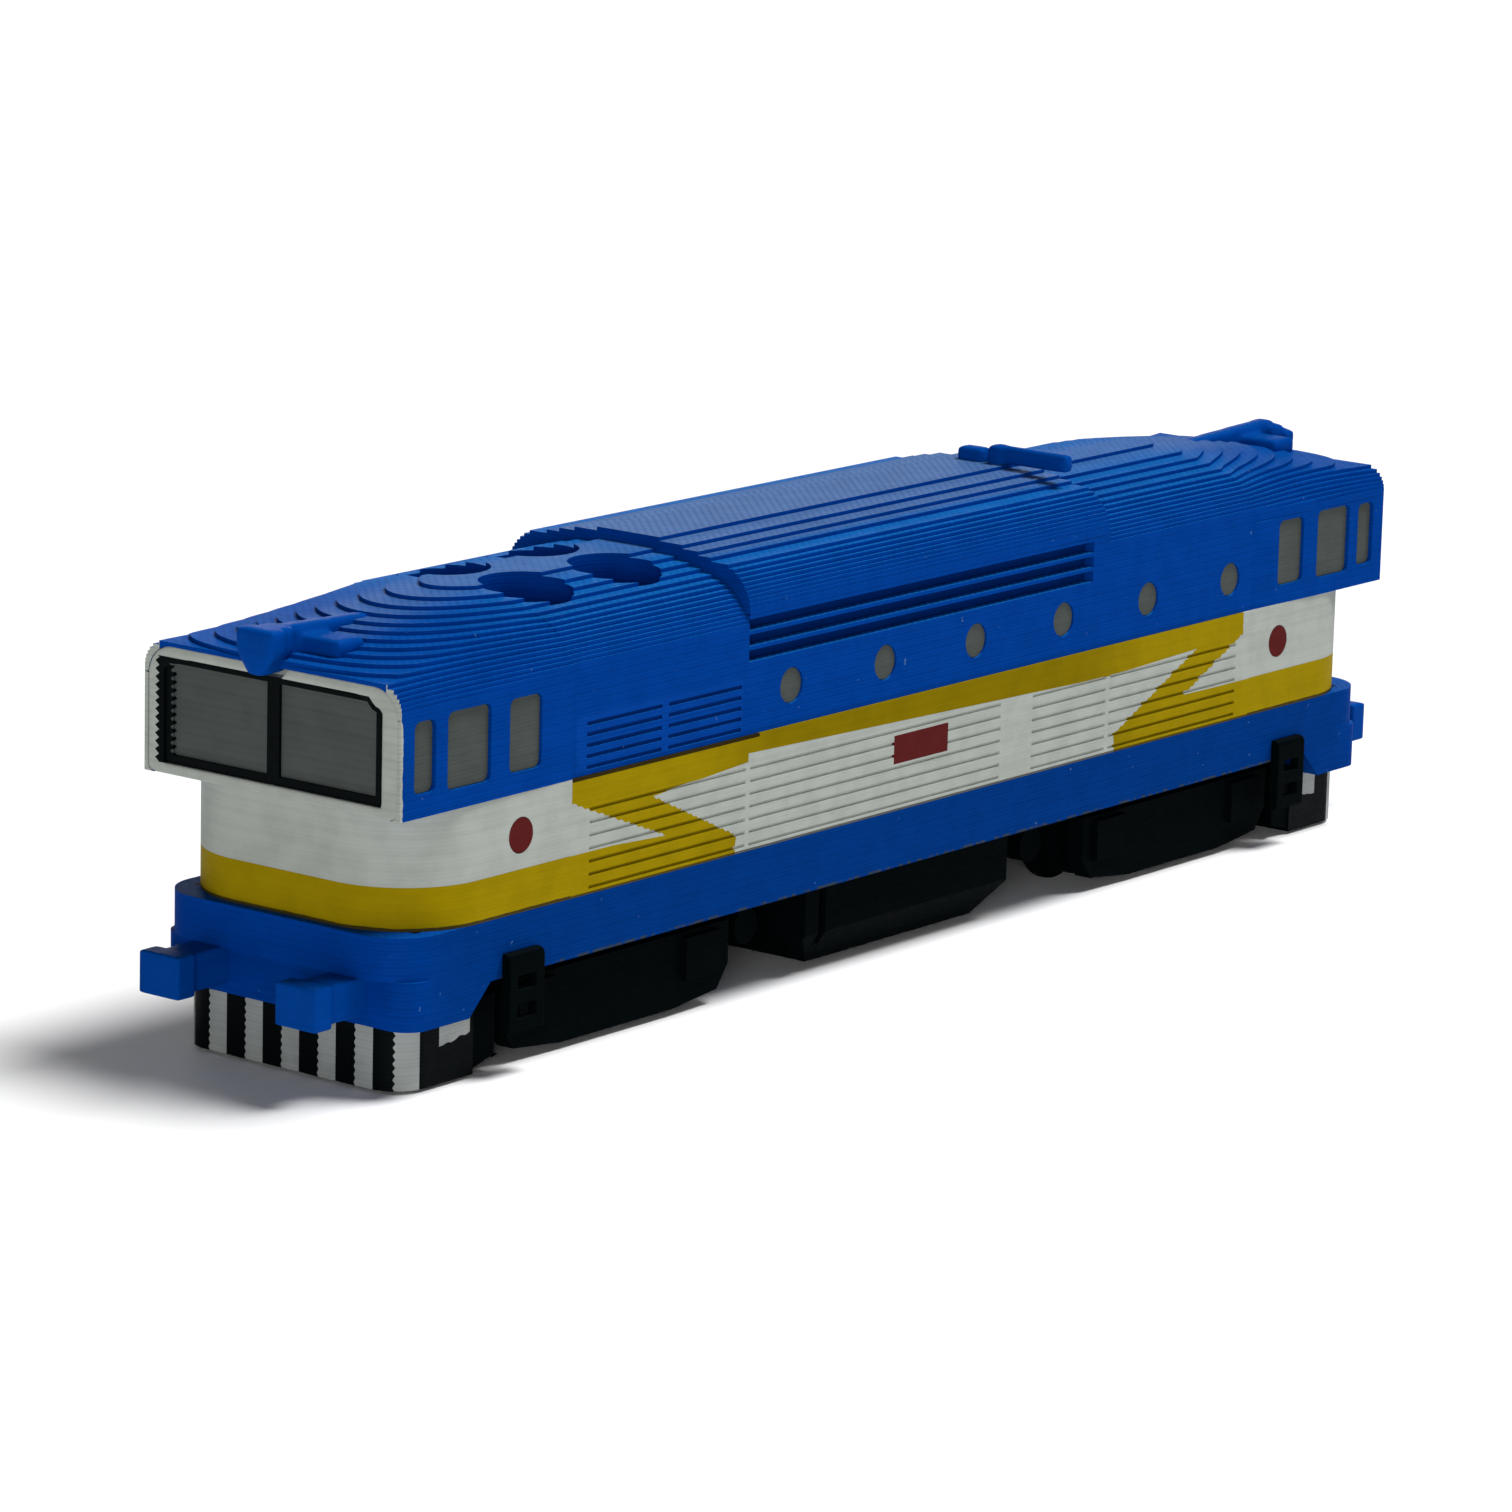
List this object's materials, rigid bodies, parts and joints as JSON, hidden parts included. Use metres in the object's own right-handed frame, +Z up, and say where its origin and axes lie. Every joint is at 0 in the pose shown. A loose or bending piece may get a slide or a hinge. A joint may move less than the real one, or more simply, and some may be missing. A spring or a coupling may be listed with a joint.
{
  "type": "printed model diesel locomotive",
  "caption": "Small 3D-printed model of a diesel locomotive with two wrap-round cabs, roof fan wells, a striped skirt and pivoting bogies with turning wheelsets.",
  "frame": {"origin": "on the floor under the middle of the model", "axes": "+X towards the fan-deck end, +Y to the model's left side, +Z up"},
  "size_m": [0.1046, 0.02, 0.028],
  "materials": {
    "blue_plastic": "printed satin, layer lines",
    "white_plastic": "printed satin, layer lines",
    "yellow_plastic": "printed satin, layer lines",
    "red_plastic": "printed satin",
    "grey_plastic": "printed satin",
    "black_plastic": "printed satin",
    "wheel_black_plastic": "printed satin"
  },
  "bodies": {
    "root": {"air_reservoirs": "black_plastic", "body_fan_deck": "blue_plastic", "body_hood": "blue_plastic", "body_rear_deck": "blue_plastic", "buffer_beam_front": "blue_plastic", "buffer_beam_rear": "blue_plastic", "buffers_front": "blue_plastic", "buffers_rear": "blue_plastic", "cab_front": "blue_plastic", "cab_rear": "blue_plastic", "cab_windows_front": "grey_plastic", "cab_windows_rear": "grey_plastic", "chassis": "black_plastic", "deck_sill": "blue_plastic", "exhaust_bar": "blue_plastic", "flash_left": "yellow_plastic", "flash_right": "yellow_plastic", "fuel_tank": "black_plastic", "lamp_unit_front": "blue_plastic", "lamp_unit_rear": "blue_plastic", "marker_discs_front": "red_plastic", "marker_discs_rear": "red_plastic", "nose_band_front": "yellow_plastic", "nose_band_rear": "yellow_plastic", "nose_white_front": "white_plastic", "nose_white_rear": "white_plastic", "pivot_pin_front": "black_plastic", "pivot_pin_rear": "black_plastic", "portholes": "grey_plastic", "side_plates": "red_plastic", "skirt_front": "black_plastic", "skirt_rear": "black_plastic", "skirt_stripes_front": "white_plastic", "skirt_stripes_rear": "white_plastic", "steps_front": "black_plastic", "steps_rear": "black_plastic", "waist_white": "white_plastic", "windscreen_frame_front": "white_plastic", "windscreen_frame_rear": "white_plastic", "windscreen_panes_front": "grey_plastic", "windscreen_panes_rear": "grey_plastic", "windscreen_surround_front": "black_plastic", "windscreen_surround_rear": "black_plastic"},
    "bogie_front": {"bogie_frame_front": "black_plastic"},
    "wheelset_front_outer": {"axle_front_outer": "wheel_black_plastic", "wheels_front_outer": "wheel_black_plastic"},
    "wheelset_front_inner": {"axle_front_inner": "wheel_black_plastic", "wheels_front_inner": "wheel_black_plastic"},
    "bogie_rear": {"bogie_frame_rear": "black_plastic"},
    "wheelset_rear_outer": {"axle_rear_outer": "wheel_black_plastic", "wheels_rear_outer": "wheel_black_plastic"},
    "wheelset_rear_inner": {"axle_rear_inner": "wheel_black_plastic", "wheels_rear_inner": "wheel_black_plastic"}
  },
  "joints": [
    {"name": "bogie_front_swivel", "type": "hinge", "parent": "root", "child": "bogie_front", "pos_m": [0.0281, 0, 0.004], "axis": [0, 0, 1], "range_deg": [-3, 3]},
    {"name": "wheelset_front_outer_spin", "type": "hinge", "parent": "bogie_front", "child": "wheelset_front_outer", "pos_m": [0.0356, 0, 0.0036], "axis": [0, 1, 0], "continuous": true},
    {"name": "wheelset_front_inner_spin", "type": "hinge", "parent": "bogie_front", "child": "wheelset_front_inner", "pos_m": [0.0206, 0, 0.0036], "axis": [0, 1, 0], "continuous": true},
    {"name": "bogie_rear_swivel", "type": "hinge", "parent": "root", "child": "bogie_rear", "pos_m": [-0.0281, 0, 0.004], "axis": [0, 0, 1], "range_deg": [-3, 3]},
    {"name": "wheelset_rear_outer_spin", "type": "hinge", "parent": "bogie_rear", "child": "wheelset_rear_outer", "pos_m": [-0.0356, 0, 0.0036], "axis": [0, 1, 0], "continuous": true},
    {"name": "wheelset_rear_inner_spin", "type": "hinge", "parent": "bogie_rear", "child": "wheelset_rear_inner", "pos_m": [-0.0206, 0, 0.0036], "axis": [0, 1, 0], "continuous": true}
  ]
}
